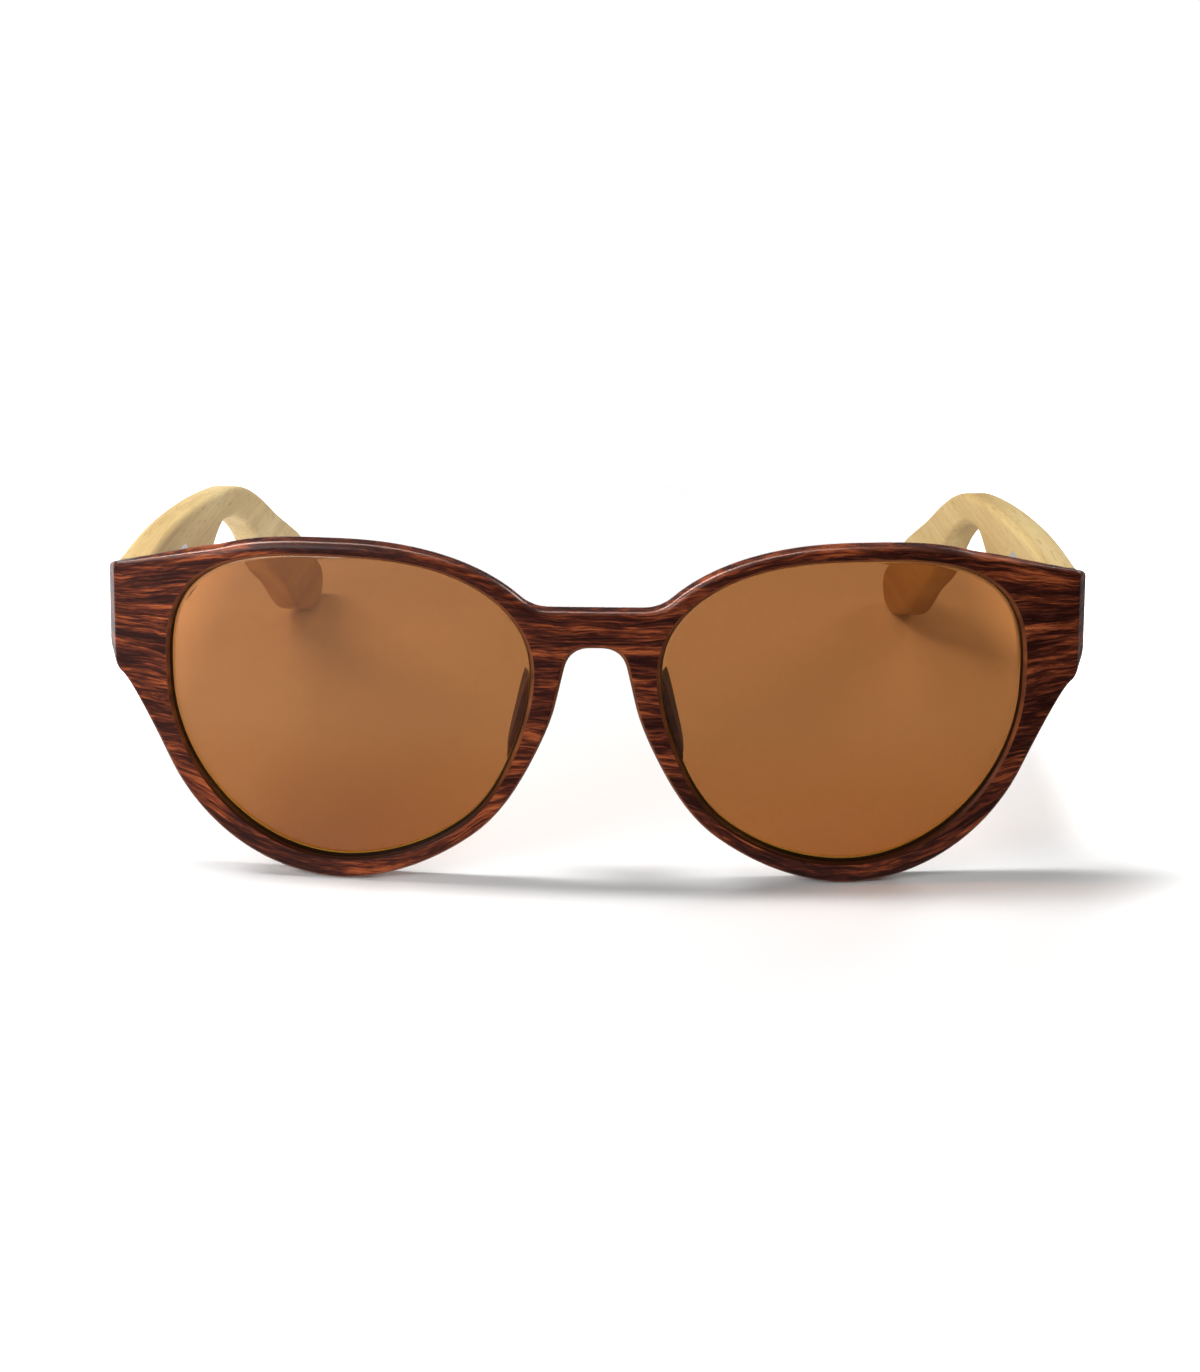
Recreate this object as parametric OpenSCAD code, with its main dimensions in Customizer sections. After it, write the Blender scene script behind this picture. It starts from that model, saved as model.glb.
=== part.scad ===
// Sunglasses: a one-piece moulded front, tinted lenses and flat bamboo temples on spring hinges.
// They stand open on the rim bottoms and the temple tips. Left and right are the wearer's.
// X runs to the wearer's left, Y from the front back to the temple tips, Z up from the table.

/* [Lenses] */
// Width of one lens opening
lens_w = 54; // [46:0.5:60]
// Height of one lens opening
lens_h = 46.7; // [40:0.1:52]
// Height of the widest line of the opening above its lowest point
lens_drop = 27; // [24:0.1:32]
// How far the top and bottom of the opening lie outboard of its middle
apex_out = 1.9; // [0:0.1:3]
// Distance between the two lens openings over the nose
lens_gap = 18; // [15:0.1:24]
// Thickness of a lens
lens_t = 1.8; // [1.4:0.1:2.2]
// How far the lens edge reaches into the rim's groove
lens_bite = 0.75; // [0.5:0.05:1]
// Depth of the lens's front surface behind the rim's front surface
lens_depth = 1.7; // [1.2:0.1:1.9]
// How much wider all round an opening is behind its lens, where the lens snaps in
lens_way_in = 0.45; // [0.2:0.05:0.6]
// How far the edge of an opening is drawn in beside the nose
lens_nose_flat = 1.2; // [0:0.1:2.4]

/* [Front] */
// Thickness of the front
front_t = 4.2; // [3.8:0.1:5]
// Radius of the front's wrap round the face
wrap_r = 350; // [250:10:600]
// Width of the rim above the lens
rim_top = 2.5; // [2:0.1:4]
// Width of the rim below the lens
rim_low = 3.3; // [2.5:0.1:5]
// Width of the rim beside the nose
rim_nose = 4.3; // [4:0.1:6]
// Width of the rim at its outer side, below the endpiece
rim_side = 3.4; // [2.8:0.1:6]
// How far the rim's outer edge is drawn in beside the nose
rim_nose_flat = 1.4; // [0:0.1:2]
// Height of the bridge's top edge above the table
bridge_top = 43; // [40:0.1:44.5]
// Height of the bridge bar at its thinnest
bridge_h = 5.7; // [4:0.1:8]
// Length of the bridge's top that bends up into the rim
bridge_hollow_run = 2.5; // [1:0.1:4]
// Width of the nose gap where the arch under the bridge begins
arch_w = 9.2; // [8:0.1:10]
// Size of the rounded corners of the arch
arch_r = 3.2; // [1.5:0.1:3.8]
// Reach of the endpiece beyond the lens opening
endpiece_reach = 9.8; // [9.6:0.1:11]
// Height of the endpiece's outer side
endpiece_h = 13.9; // [13:0.1:17]
// Drop of the endpiece's top corner below the top of the front
endpiece_drop = 5.2; // [4:0.1:6]
// How much farther out the endpiece's lower corner lies than its upper one
endpiece_lean = 0.4; // [0:0.1:0.8]
// Rounding of the endpiece's corners
corner_r = 0.8; // [0.4:0.1:1.5]
// How far the endpiece's outer side leans out from front to back
side_flare = 1.4; // [0.4:0.1:1.8]
// Angle by which the endpiece's top falls towards the temple
top_fall = 13; // [6:1:16]

/* [Nose pads] */
// Length of a nose pad
pad_len = 18; // [15:0.5:20]
// How far a nose pad stands out behind the rim
pad_out = 6.2; // [4:0.1:7]
// Thickness of a nose pad at its rounded edge
pad_edge = 1.8; // [1.4:0.1:2.4]
// Height of the middle of a nose pad above the table
pad_z = 26.3; // [24:0.1:28]
// Lean of a nose pad along the side of the nose
pad_lean = 13; // [8:1:15]
// Angle by which a nose pad opens towards the face
pad_splay = 11; // [5:1:26]

/* [Temples] */
// Thickness of the bamboo
temple_t = 5; // [4.2:0.1:6]
// Height of the temple at the hinge
temple_h = 13.8; // [12:0.1:15]
// Height of the slim stretch in front of the ear
temple_slim = 5.2; // [4.4:0.1:7]
// Height of the bamboo across the tip
tip_h = 12; // [9:0.1:13]
// Distance from the hinge pin back to the slim stretch
slim_at = 54; // [50:1:58]
// Distance from the hinge pin back to the end of the tip
temple_reach = 136; // [130:1:142]
// Angle by which each temple closes in towards its tip
temple_toe_in = 4.5; // [2:0.1:6]

/* [Spring hinges] */
// Radius of the hinge barrels
barrel_r = 1.6; // [1.4:0.05:1.8]
// Height of the middle barrel
barrel_mid_h = 2.5; // [2:0.1:3]
// Height of each of the two barrels on the front
barrel_end_h = 2.3; // [1.8:0.1:3]
// Radius of the hinge screw
pin_r = 0.7; // [0.5:0.05:0.8]
// Height of the spring housing
housing_h = 4; // [3.8:0.1:5]
// Length of the spring housing
housing_l = 12.6; // [12:0.1:15]
// Length of the screwed tail behind the housing
tail_l = 8.5; // [7.5:0.5:12]
// Thickness of the housing's base plate, let into the bamboo
plate_t = 0.8; // [0.6:0.1:1.2]
// Travel of the spring as a temple is flexed outwards
flex = 1.2; // [0.8:0.1:1.4]
// Radius of the small screws that hold a housing to its temple
wood_screw_r = 0.55; // [0.4:0.05:0.7]

/* [Clearances] */
// Radial play of the hinge screw in the barrels
pin_play = 0.04; // [0.02:0.01:0.08]
// Play between barrels, and of the slider in its housing
slide_play = 0.06; // [0.04:0.01:0.1]
// Gap of pieces that are seated in a pocket
seat_gap = 0.02; // [0.01:0.01:0.05]
// Gap between a temple's end and its endpiece when open
joint_gap = 0.15; // [0.1:0.05:0.3]

/* [Hidden] */
$fn = 48;

left = 1;
right = -1;

// Colours of the materials
rosewood = [0.36, 0.17, 0.12];
brown_tint = [0.62, 0.40, 0.22, 0.6];
bamboo = [0.86, 0.75, 0.52];
nickel = [0.72, 0.71, 0.69];
steel = [0.55, 0.55, 0.57];

// Heights of the front above the table, which the rims stand on
lens_mid_z = rim_low + lens_drop;
front_top = rim_low + lens_h + rim_top;
endpiece_top = front_top - endpiece_drop;
endpiece_low = endpiece_top - endpiece_h;
hinge_z = (endpiece_top + endpiece_low) / 2;
bridge_low = bridge_top - bridge_h;

// Sideways places, from the middle of the nose
apex_x = lens_gap / 2 + lens_w / 2 + apex_out;
nose_axis = lens_w / 2 + apex_out;
side_axis = lens_w / 2 - apex_out;
half_w = lens_gap / 2 + lens_w + endpiece_reach;
barrel_to_temple = barrel_r + 0.3;
hinge_x = half_w - side_flare - temple_t - barrel_to_temple;

// Roundness of each quarter of the outlines, from the outer top round over the nose:
// 2 is an ellipse, and more is squarer
lens_round = [3.1, 2.4, 1.95, 1.95];
rim_round = [3, 2.22, 1.75, 2];
outline_step = 5;
// Where the edges are drawn in beside the nose: the angle in the middle, and the run to each side
flat_at = 195;
flat_run = 34;

// Depths, from the front of the bridge back
barrel_clear = 0.25;
function wrap_y(x) = wrap_r - sqrt(wrap_r * wrap_r - x * x);
hinge_y = wrap_y(hinge_x) + front_t + barrel_r + barrel_clear;
depth = hinge_y + (barrel_to_temple + temple_t) * sin(temple_toe_in) + temple_reach * cos(temple_toe_in);

// Spring hinge, measured from the hinge pin: X outwards, Y back along the temple
rod_x = 0.9;
rod_r = 0.45;
bar_w = 1.8;
bar_h = 2.3;
housing_front = 3;
housing_wall = 0.6;
housing_x = rod_x - bar_w / 2 - slide_play - housing_wall;
plate_x = barrel_to_temple + plate_t;
plate_margin = 0.6;
bar_hold = 0.4;
bar_end = housing_front + flex + bar_hold;
bush_gap = 0.3;
bush_at = bar_end + bush_gap;
bush_t = 1;
collar_t = 1;
collar_gap = 0.6;
collar_at = housing_front + housing_l - housing_wall - collar_gap - collar_t;
spring_gap = 0.05;
spring_wire = 0.12;
spring_r = 0.7;
spring_turns = 8;
anchor_in = 0.5;
anchor_out = 5.6;
anchor_depth = 2.6;
anchor_t = 1;
web_in = 0.5;
web_out = 1.4;
leaf_h = barrel_mid_h + 2 * slide_play + 2 * barrel_end_h;
pin_head_r = 1.2;
pin_head_t = 0.7;
wood_screw_l = 3.6;
wood_head_r = 1;
wood_screws_at = [3, tail_l - 1.8];

// The edge of an opening or a rim, seen from the front, at angle t round its middle:
// quarter ellipses of four half axes, squared by their own roundness, and drawn in beside the nose
function turn(t) = t - 360 * floor(t / 360);
function drawn_in(t) = let (off = abs(turn(t) - flat_at)) off < flat_run ? pow(cos(90 * off / flat_run), 2) : 0;
function edge_point(t, out, nose, up, down, round_by, flat) =
    let (q = floor(turn(t) / 90), n = round_by[q])
    let (a = (q == 0 || q == 3) ? out : nose, b = q < 2 ? up : down)
    let (r = pow(pow(abs(cos(t)) / a, n) + pow(abs(sin(t)) / b, n), -1 / n) - flat * drawn_in(t))
    [apex_x + r * cos(t), lens_mid_z + r * sin(t)];
function lens_edge(t, grow) = edge_point(t, side_axis + grow, nose_axis + grow,
    lens_h - lens_drop + grow, lens_drop + grow, lens_round, lens_nose_flat);
function rim_edge(t) = edge_point(t, side_axis + rim_side, nose_axis + rim_nose,
    lens_h - lens_drop + rim_top, lens_drop + rim_low, rim_round, rim_nose_flat);

// A curved corner from a to b, drawn in towards the sharp corner c
function mix(a, b, u) = a + (b - a) * u;
function corner(a, c, b, steps) = [for (i = [0 : steps])
    let (u = i / steps) mix(mix(a, c, u), mix(c, b, u), u)];
function towards(c, p, r) = c + r * (p - c) / norm(p - c);

// The hollow between the bridge and the rim's top, and the corner of the arch below the bridge
hollow_at = 152;
arch_at = 184;
function bridge_hollow() =
    let (p = rim_edge(hollow_at), d = rim_edge(hollow_at + 1) - rim_edge(hollow_at - 1))
    let (c = p + d * (bridge_top - p[1]) / d[1])
    corner([c[0] - bridge_hollow_run, bridge_top], c, p, 8);
function arch_corner() =
    let (p = rim_edge(arch_at), q = [arch_w / 2, bridge_low - arch_r])
    let (c = q + (q - p) * arch_r / (q[1] - p[1]))
    concat([p], corner(q, c, [c[0] - arch_r, bridge_low], 6));

// The endpiece's two corners, between the rim's top and its outer side
endpiece_from = 50;
endpiece_to = -26;
endpiece_root_run = 2.5;
endpiece_root_fall = 4.9;
function endpiece_corners() =
    let (a = [half_w - endpiece_lean, endpiece_top], b = [half_w, endpiece_low])
    let (top = rim_edge(endpiece_from), low = rim_edge(endpiece_to))
    let (d = rim_edge(endpiece_to + 1) - rim_edge(endpiece_to - 1))
    let (root = low + d * (endpiece_low - endpiece_root_fall - low[1]) / d[1])
    concat(corner(towards(a, top, corner_r), a, towards(a, b, corner_r), 3),
        corner(towards(b, a, 1.5 * corner_r), b, towards(b, root, 1.5 * corner_r), 4),
        corner(towards(root, b, endpiece_root_run), root, low, 7));

// A smooth open curve through points, with some steps between each pair
function curve_point(a, b, c, d, u) =
    0.5 * (2 * b + (c - a) * u + (2 * a - 5 * b + 4 * c - d) * u * u + (3 * b - 3 * c + d - a) * u * u * u);
function curve(p, steps) = let (last = len(p) - 1)
    [for (i = [0 : last - 1]) for (k = [0 : steps - 1])
        curve_point(p[max(i - 1, 0)], p[i], p[i + 1], p[min(i + 2, last)], k / steps), p[last]];

// Places both halves of a pair, and one side's copy of a piece
module both() {
    children();
    mirror([1, 0, 0]) children();
}
module on_side(side) {
    if (side == left) children();
    if (side == right) mirror([1, 0, 0]) children();
}

// Puts the middle of the footprint at the origin
module placed() {
    translate([0, -depth / 2, 0]) children();
}

// Moves a piece drawn about the left hinge pin to its place
module at_hinge(side) {
    placed() on_side(side) translate([hinge_x, hinge_y, hinge_z]) rotate([0, 0, temple_toe_in]) children();
}

// Thickens a shape drawn as seen from the front, from depth y0 to y1
module facing(y0, y1) {
    translate([0, y1, 0]) rotate([90, 0, 0]) linear_extrude(y1 - y0) children();
}

// A wall wrapped round the face, from depth d0 to d1 behind the front's surface
module wrapped(d0, d1) {
    translate([0, wrap_r, -1]) difference() {
        cylinder(r = wrap_r - d0, h = front_top + 2, $fn = 360);
        translate([0, 0, -1]) cylinder(r = wrap_r - d1, h = front_top + 4, $fn = 360);
    }
}

module box(x0, x1, y0, y1, half_h) {
    translate([x0, y0, -half_h]) cube([x1 - x0, y1 - y0, 2 * half_h]);
}

// The lens opening, grown for the lens edge and its groove
module opening_2d(grow) {
    polygon([for (t = [0 : outline_step : 359]) lens_edge(t, grow)]);
}

// The front's outer edge: bridge, hollow above it, rim top, endpiece, rim bottom and arch
module front_2d() {
    half = concat(bridge_hollow(), [for (t = [hollow_at - 4 : -4 : endpiece_from]) rim_edge(t)],
        endpiece_corners(), [for (t = [endpiece_to - 5 : -5 : arch_at - 360 + 2]) rim_edge(t)], arch_corner());
    polygon(concat(half, [for (i = [len(half) - 1 : -1 : 0]) [-half[i][0], half[i][1]]]));
}

// The front's plan view: its outer sides lean out towards the back
module front_plan() {
    back = wrap_y(half_w) + front_t;
    front_x = half_w - side_flare * (back + 1) / front_t;
    polygon([[front_x, -1], [half_w, back], [half_w, 2 * back], [-half_w, 2 * back], [-half_w, back], [-front_x, -1]]);
}

// The thick end behind the front that the temple closes against
module endpiece_block() {
    intersection() {
        facing(0, hinge_y + front_t) front_2d();
        translate([hinge_x, hinge_y, hinge_z]) rotate([0, 0, temple_toe_in])
            box(barrel_to_temple - 0.1, half_w, -front_t, 0, front_top);
    }
}

// The space over the endpiece, whose top falls from the front's face to the back
module above_endpiece() {
    top = rim_edge(endpiece_from);
    corner_x = half_w - endpiece_lean;
    slope = (top[1] - endpiece_top) / (corner_x - top[0]);
    reach = endpiece_h;
    translate([corner_x, wrap_y(half_w), endpiece_top]) rotate([0, atan(slope), 0]) rotate([-top_fall, 0, 0])
        translate([-half_w / 2, 0, 0]) cube([half_w / 2 + reach, reach, reach]);
}

// A pad moulded behind the nose side of the rim: a splayed wedge with a round outer edge
module nose_pad() {
    root_half = rim_nose * 0.28;
    root_in = 0.3;
    root_len = pad_len - 2;
    root_lean = pad_lean + 2;
    edge_r = pad_edge / 2;
    outwards = 0.6;
    pad_x = (lens_edge(193, 0)[0] + rim_edge(193)[0]) / 2 + outwards;
    tip_y = pad_out - edge_r;
    translate([pad_x, wrap_y(pad_x) + front_t, pad_z]) hull() {
        rotate([0, -root_lean, 0]) translate([-root_half, -root_in, -root_len / 2])
            cube([2 * root_half, root_in, root_len]);
        translate([tip_y * tan(pad_splay), tip_y, 0]) rotate([0, -pad_lean, 0])
            cylinder(r = edge_r, h = pad_len, center = true, $fn = 24);
    }
}

// The metal leaf set in the front: an anchor plate, two webs and two barrels
module leaf_anchor(gap) {
    box(-anchor_in - gap, anchor_out + gap, -anchor_depth - anchor_t - gap, -anchor_depth + gap, leaf_h / 2 + gap);
    leaf_webs(gap);
}
module leaf_webs(gap) {
    for (s = [-1, 1]) translate([0, 0, s * (leaf_h - barrel_end_h) / 2])
        box(-web_in - gap, web_out + gap, -anchor_depth - gap, 0, barrel_end_h / 2 + gap);
}

module front_frame() {
    color(rosewood) placed() union() {
        difference() {
            intersection() {
                union() {
                    intersection() {
                        wrapped(0, front_t);
                        facing(-1, wrap_y(half_w) + front_t + 1) front_2d();
                    }
                    both() endpiece_block();
                }
                linear_extrude(front_top + 1) front_plan();
            }
            both() above_endpiece();
            both() facing(-1, front_t * 4) opening_2d(0);
            intersection() {
                wrapped(lens_depth - seat_gap, lens_depth + lens_t + seat_gap);
                both() facing(-1, front_t * 4) opening_2d(lens_bite + seat_gap);
            }
            intersection() {
                wrapped(lens_depth + lens_t, front_t * 4);
                both() facing(-1, front_t * 4) opening_2d(lens_way_in);
            }
            both() translate([hinge_x, hinge_y, hinge_z]) rotate([0, 0, temple_toe_in]) leaf_anchor(seat_gap);
        }
        both() nose_pad();
    }
}

module lens(side) {
    color(brown_tint) placed() on_side(side) intersection() {
        wrapped(lens_depth, lens_depth + lens_t);
        facing(-1, front_t * 4) opening_2d(lens_bite);
    }
}

module front_hinge(side) {
    color(nickel) at_hinge(side) difference() {
        union() {
            leaf_anchor(0);
            for (s = [-1, 1]) translate([0, 0, s * (leaf_h - barrel_end_h) / 2])
                cylinder(r = barrel_r, h = barrel_end_h, center = true);
        }
        cylinder(r = pin_r + pin_play, h = leaf_h + 2, center = true);
    }
}

module hinge_screw(side) {
    slot_w = 0.35;
    slot_d = 0.3;
    color(steel) at_hinge(side) difference() {
        union() {
            translate([0, 0, -leaf_h / 2]) cylinder(r = pin_r, h = leaf_h);
            translate([0, 0, leaf_h / 2]) cylinder(r = pin_head_r, h = pin_head_t);
        }
        translate([-2 * pin_head_r, -slot_w / 2, leaf_h / 2 + pin_head_t - slot_d])
            cube([4 * pin_head_r, slot_w, 2 * slot_d]);
    }
}

// The middle barrel with its bar and the rod that the spring sits on
module hinge_slider(side) {
    color(nickel) at_hinge(side) difference() {
        union() {
            cylinder(r = barrel_r, h = barrel_mid_h, center = true);
            box(rod_x - bar_w / 2, rod_x + bar_w / 2, 0, bar_end, bar_h / 2);
            translate([rod_x, bar_end - 0.5, 0]) rotate([-90, 0, 0])
                cylinder(r = rod_r, h = collar_at + collar_t - bar_end + 0.5);
        }
        cylinder(r = pin_r + pin_play, h = barrel_mid_h + 2, center = true);
    }
}

module slider_collar(side) {
    color(steel) at_hinge(side) translate([rod_x, collar_at, 0]) rotate([-90, 0, 0]) difference() {
        cylinder(r = bar_w / 2, h = collar_t);
        translate([0, 0, -1]) cylinder(r = rod_r + seat_gap, h = collar_t + 2);
    }
}

module lock_bush(side) {
    color(steel) at_hinge(side) difference() {
        box(rod_x - bar_w / 2, rod_x + bar_w / 2, bush_at, bush_at + bush_t, bar_h / 2);
        translate([rod_x, bush_at - 1, 0]) rotate([-90, 0, 0]) cylinder(r = rod_r + slide_play, h = bush_t + 2);
    }
}

// One unbroken wire wound between the bush and the collar
module hinge_spring(side) {
    sides = 6;
    rings = 12;
    start = bush_at + bush_t + spring_gap + spring_wire;
    pitch = (collar_at - spring_gap - spring_wire - start) / spring_turns;
    count = spring_turns * rings;
    points = [for (i = [0 : count]) let (t = 360 * i / rings) for (j = [0 : sides - 1])
        let (a = 360 * j / sides, r = spring_r + spring_wire * cos(a))
        [r * cos(t), r * sin(t), start + pitch * i / rings + spring_wire * sin(a)]];
    walls = [for (i = [0 : count - 1]) for (j = [0 : sides - 1])
        let (a = i * sides + j, b = i * sides + (j + 1) % sides)
        each [[a, a + sides, b + sides], [a, b + sides, b]]];
    ends = [for (j = [1 : sides - 2]) each [[0, j, j + 1],
        [count * sides, count * sides + j + 1, count * sides + j]]];
    color(steel) at_hinge(side) translate([rod_x, 0, 0]) rotate([-90, 0, 0])
        polyhedron(points = points, faces = concat(walls, ends));
}

// The housing with its slider's channel, and the tail that is screwed to the bamboo
module housing_plate(gap) {
    half = housing_h / 2 + plate_margin + gap;
    front = housing_front - gap;
    back = housing_front + housing_l + tail_l + gap;
    translate([barrel_to_temple - gap, 0, 0]) rotate([0, 90, 0]) linear_extrude(plate_t + 2 * gap)
        hull() {
            translate([-half, front]) square([2 * half, 1]);
            translate([0, back - half]) circle(half, $fn = 48);
        }
}

module hinge_housing(side) {
    color(nickel) at_hinge(side) difference() {
        union() {
            box(housing_x, plate_x, housing_front, housing_front + housing_l, housing_h / 2);
            housing_plate(0);
        }
        box(rod_x - bar_w / 2 - slide_play, rod_x + bar_w / 2 + slide_play, housing_front - 1,
            housing_front + housing_l - housing_wall, bar_h / 2 + slide_play);
        at_wood_screws() wood_screw(seat_gap, 1);
    }
}

module at_wood_screws() {
    for (y = wood_screws_at) translate([barrel_to_temple, housing_front + housing_l + y, 0])
        rotate([0, 90, 0]) children();
}

// A countersunk screw pointing into the bamboo, with its head flush with the plate
module wood_screw(gap, above) {
    translate([0, 0, -above]) cylinder(r = wood_screw_r + gap, h = above + wood_screw_l + gap);
    cylinder(r1 = wood_head_r + gap, r2 = wood_screw_r + gap, h = wood_head_r - wood_screw_r);
    if (above > 0) translate([0, 0, -above]) cylinder(r = wood_head_r + gap, h = above);
}

module housing_screws(side) {
    slot = 0.3;
    color(steel) at_hinge(side) at_wood_screws() difference() {
        wood_screw(0, 0);
        translate([-2 * wood_head_r, -slot / 2, -slot]) cube([4 * wood_head_r, slot, 1.5 * slot]);
    }
}

// The bamboo's side view: Y back from the hinge pin, Z above the table. It is deep at the hinge,
// slim in front of the ear, and bends down to a broad round tip that stands on the table
module temple_2d() {
    top = endpiece_top - 0.1;
    low = top - temple_h;
    slim_top = top - 4;
    end_drop = 0.5;
    bend = temple_reach - slim_at;
    upper = [[joint_gap, top - end_drop], [slim_at * 0.3, top - 0.1], [slim_at * 0.65, top - 1.4], [slim_at, slim_top],
        [slim_at + bend * 0.15, slim_top - 2.7], [slim_at + bend * 0.3, slim_top - 7.4],
        [slim_at + bend * 0.5, slim_top - tip_h * 1.29], [slim_at + bend * 0.72, slim_top - tip_h * 1.99],
        [slim_at + bend * 0.9, tip_h * 0.92], [temple_reach - 1.6, tip_h * 0.58]];
    tip = [[temple_reach, tip_h * 0.32], [temple_reach - 2, tip_h * 0.07],
        [temple_reach - 6.5, 0], [temple_reach - 12, tip_h * 0.07]];
    lower = [[slim_at + bend * 0.7, tip_h * 0.42], [slim_at + bend * 0.55, tip_h * 0.42 + 8],
        [slim_at + bend * 0.4, tip_h * 0.42 + 14.9], [slim_at + bend * 0.25, slim_top - temple_slim - 8.2],
        [slim_at + bend * 0.11, slim_top - temple_slim - 2.2], [slim_at, slim_top - temple_slim],
        [slim_at - 6, slim_top - temple_slim + 0.4], [slim_at - 14, low + 2.4],
        [slim_at - 20, low + 0.1], [slim_at - 28, low - 0.4], [slim_at * 0.2, low - 0.1], [joint_gap, low]];
    polygon(curve(concat(upper, tip, lower), 5));
}

module temple(side) {
    color(bamboo) at_hinge(side) difference() {
        translate([barrel_to_temple, 0, -hinge_z]) rotate([90, 0, 90]) linear_extrude(temple_t) temple_2d();
        housing_plate(seat_gap);
        at_wood_screws() wood_screw(seat_gap, 1);
    }
}

front_frame();
lens(left);  // lens_left
lens(right);  // lens_right
front_hinge(left);  // front_hinge_left
front_hinge(right);  // front_hinge_right
hinge_screw(left);  // hinge_screw_left
hinge_screw(right);  // hinge_screw_right
hinge_slider(left);  // hinge_slider_left
hinge_slider(right);  // hinge_slider_right
slider_collar(left);  // slider_collar_left
slider_collar(right);  // slider_collar_right
temple(left);  // temple_left
temple(right);  // temple_right
hinge_housing(left);  // hinge_housing_left
hinge_housing(right);  // hinge_housing_right
lock_bush(left);  // lock_bush_left
lock_bush(right);  // lock_bush_right
hinge_spring(left);  // hinge_spring_left
hinge_spring(right);  // hinge_spring_right
housing_screws(left);  // housing_screws_left
housing_screws(right);  // housing_screws_right
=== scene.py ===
from math import cos, exp, pi, radians, sin, sqrt, tan

import bmesh
import bpy
from mathutils import Matrix, Vector
from mathutils.geometry import delaunay_2d_cdt


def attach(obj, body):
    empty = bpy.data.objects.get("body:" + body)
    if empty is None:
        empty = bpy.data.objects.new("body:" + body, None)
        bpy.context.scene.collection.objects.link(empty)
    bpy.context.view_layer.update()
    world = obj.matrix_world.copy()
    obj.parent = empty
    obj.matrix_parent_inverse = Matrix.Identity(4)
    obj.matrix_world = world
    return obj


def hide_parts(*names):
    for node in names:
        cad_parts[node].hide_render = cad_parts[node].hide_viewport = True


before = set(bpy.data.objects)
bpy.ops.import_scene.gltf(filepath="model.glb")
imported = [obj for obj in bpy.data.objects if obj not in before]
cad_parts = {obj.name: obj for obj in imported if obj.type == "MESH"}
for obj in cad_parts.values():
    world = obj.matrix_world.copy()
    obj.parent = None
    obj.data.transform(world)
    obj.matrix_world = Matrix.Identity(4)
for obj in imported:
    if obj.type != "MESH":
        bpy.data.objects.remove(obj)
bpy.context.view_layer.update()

# Lengths are in millimetres, measured from the front of the bridge back, until a mesh is placed
LENS_W = 54.0
LENS_H = 46.7
LENS_DROP = 27.0
APEX_OUT = 1.9
LENS_GAP = 18.0
LENS_T = 1.8
LENS_BITE = 0.75
LENS_DEPTH = 1.7
LENS_WAY_IN = 0.45
LENS_NOSE_FLAT = 1.2
FRONT_T = 4.2
WRAP_R = 350.0
RIM_TOP = 2.5
RIM_LOW = 3.3
RIM_NOSE = 4.3
RIM_SIDE = 3.4
RIM_NOSE_FLAT = 1.4
BRIDGE_TOP = 43.0
BRIDGE_H = 5.7
BRIDGE_HOLLOW_RUN = 2.5
ARCH_W = 9.2
ARCH_R = 3.2
ENDPIECE_REACH = 9.8
ENDPIECE_H = 13.9
ENDPIECE_DROP = 5.2
ENDPIECE_LEAN = 0.4
CORNER_R = 0.8
SIDE_FLARE = 1.4
TOP_FALL = 13.0
PAD_LEN = 18.0
PAD_OUT = 6.2
PAD_EDGE = 1.8
PAD_Z = 26.3
PAD_LEAN = 13.0
PAD_SPLAY = 11.0
TEMPLE_T = 5.0
TEMPLE_H = 13.8
TEMPLE_SLIM = 5.2
TIP_H = 12.0
SLIM_AT = 54.0
TEMPLE_REACH = 136.0
TOE_IN = 4.5
JOINT_GAP = 0.15
BARREL_R = 1.6
BARREL_BEHIND = 0.25
HINGE_ROOM = 0.3
HOUSING_FRONT = 3.0
HOUSING_L = 12.6
HOUSING_H = 4.0
TAIL_L = 8.5
PLATE_T = 0.8
PLATE_EDGE = 0.6
POCKET_ROOM = 0.02
TEMPLE_ROUND = 1.15

LENS_BACK = LENS_DEPTH + LENS_T
LENS_MID_Z = RIM_LOW + LENS_DROP
FRONT_TOP = RIM_LOW + LENS_H + RIM_TOP
ENDPIECE_TOP = FRONT_TOP - ENDPIECE_DROP
ENDPIECE_LOW = ENDPIECE_TOP - ENDPIECE_H
HINGE_Z = (ENDPIECE_TOP + ENDPIECE_LOW) / 2
BRIDGE_LOW = BRIDGE_TOP - BRIDGE_H
APEX_X = LENS_GAP / 2 + LENS_W / 2 + APEX_OUT
NOSE_AXIS = LENS_W / 2 + APEX_OUT
SIDE_AXIS = LENS_W / 2 - APEX_OUT
HALF_W = LENS_GAP / 2 + LENS_W + ENDPIECE_REACH
BARREL_TO_TEMPLE = BARREL_R + HINGE_ROOM
HINGE_X = HALF_W - SIDE_FLARE - TEMPLE_T - BARREL_TO_TEMPLE


def wrap_y(x):
    """Depth of the front's curved face, x from its middle."""
    return WRAP_R - sqrt(WRAP_R * WRAP_R - x * x)


HINGE_Y = wrap_y(HINGE_X) + FRONT_T + BARREL_R + BARREL_BEHIND
DEPTH = (HINGE_Y + (BARREL_TO_TEMPLE + TEMPLE_T) * sin(radians(TOE_IN))
         + TEMPLE_REACH * cos(radians(TOE_IN)))


def placed(p):
    """A point in millimetres, brought into the frame in metres."""
    return Vector((p[0], p[1] - DEPTH / 2, p[2])) / 1000


def hinge_point(side, x, y, z):
    """A point drawn about the left hinge pin, with z from the table, placed on either side."""
    c, s = cos(radians(TOE_IN)), sin(radians(TOE_IN))
    return placed((side * (HINGE_X + x * c - y * s), HINGE_Y + x * s + y * c, z))


def clamp(u, low=0.0, high=1.0):
    return max(low, min(high, u))


def smooth(u):
    u = clamp(u)
    return u * u * (3 - 2 * u)


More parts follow.
